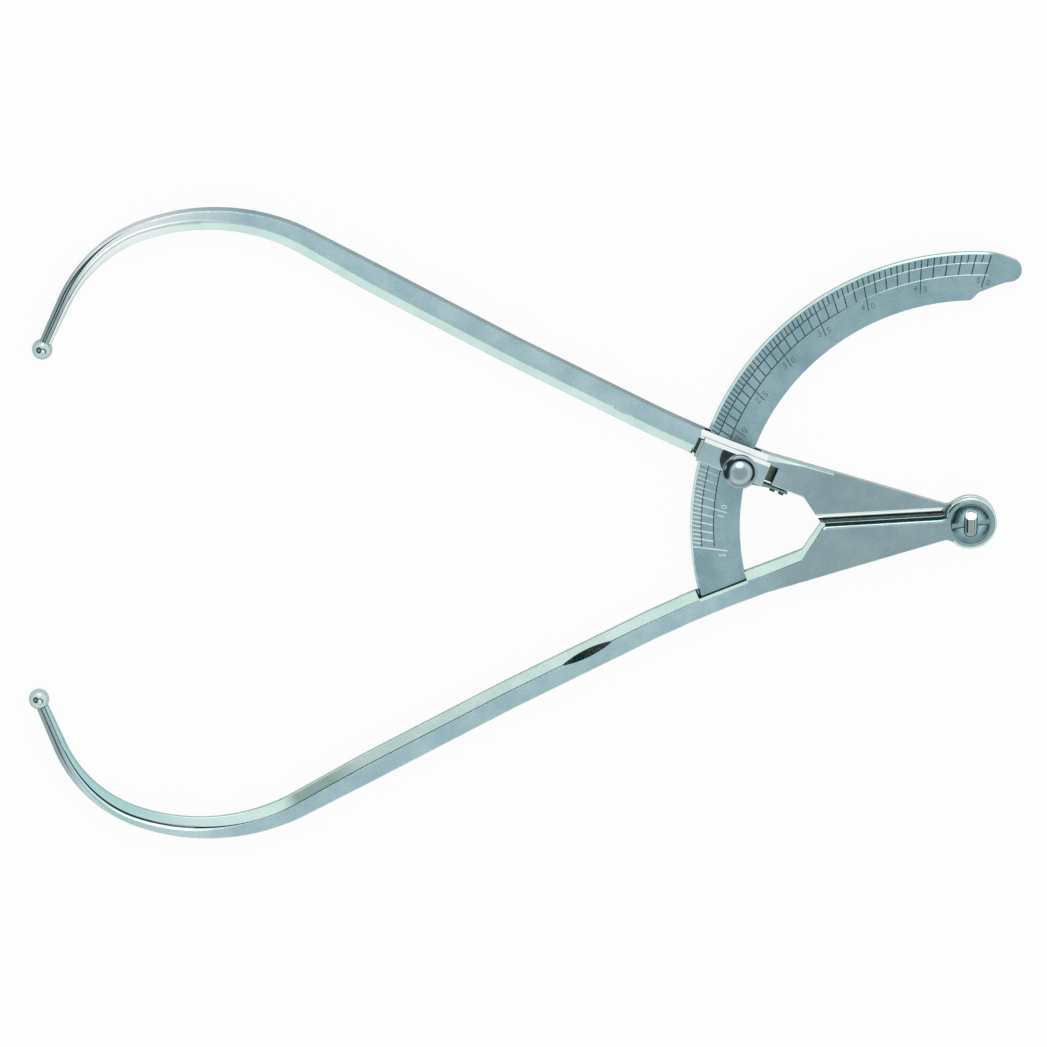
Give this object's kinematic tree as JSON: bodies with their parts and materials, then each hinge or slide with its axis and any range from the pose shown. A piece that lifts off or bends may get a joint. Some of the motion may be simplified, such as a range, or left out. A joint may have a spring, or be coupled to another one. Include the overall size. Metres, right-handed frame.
{
  "type": "breadth caliper",
  "caption": "Breadth caliper with two bowed arms on one pivot, ball tips and a graduated arc that a thumb screw clamps.",
  "frame": {"origin": "centre of the pivot head's rear face, which lies in the plane that the two ball tips rest on", "axes": "+Z out of the graduated face along the pivot, -X from the pivot towards the ball tips along the line that halves the opening, +Y towards the arm with the window"},
  "size_m": [0.3332, 0.2206, 0.0167],
  "materials": {
    "satin_plate": "satin nickel plate",
    "polished_steel": "polished nickel plate",
    "spring_steel": "dull",
    "plated_brass": "nickel plated, polished"
  },
  "bodies": {
    "scale_arm": {"scale_arm": "satin_plate", "graduated_arc": "satin_plate", "arc_pin_inner": "polished_steel", "arc_pin_outer": "polished_steel", "scale_arm_ball": "polished_steel", "pivot_screw": "polished_steel", "pivot_disc": "satin_plate", "pivot_washer": "polished_steel"},
    "window_arm": {"window_arm": "satin_plate", "window_arm_ball": "polished_steel", "window_cover": "satin_plate", "cover_screw_outer": "polished_steel", "cover_screw_inner": "polished_steel", "threaded_bush": "plated_brass", "leaf_spring": "spring_steel", "spring_screw_outer": "polished_steel", "spring_screw_inner": "polished_steel"},
    "pressure_plate": {"pressure_plate": "polished_steel"},
    "thumb_screw": {"thumb_screw": "polished_steel"}
  },
  "joints": [
    {"name": "arm_opening", "type": "hinge", "parent": "scale_arm", "child": "window_arm", "pos_m": [0, 0, 0.0035], "axis": [0, 0, -1], "range_deg": [-18, 82]},
    {"name": "clamp_slide", "type": "slide", "parent": "window_arm", "child": "pressure_plate", "axis": [0, 0, -1], "range_m": [0, 0.0007]},
    {"name": "thumb_screw_turn", "type": "hinge", "parent": "pressure_plate", "child": "thumb_screw", "pos_m": [-0.07909, 0.02116, 0.0115], "axis": [0, 0, -1], "range_deg": [0, 360]}
  ],
  "couplings": [
    {"joint": "thumb_screw_turn", "follows": "clamp_slide", "rad_per_m": 8975}
  ]
}
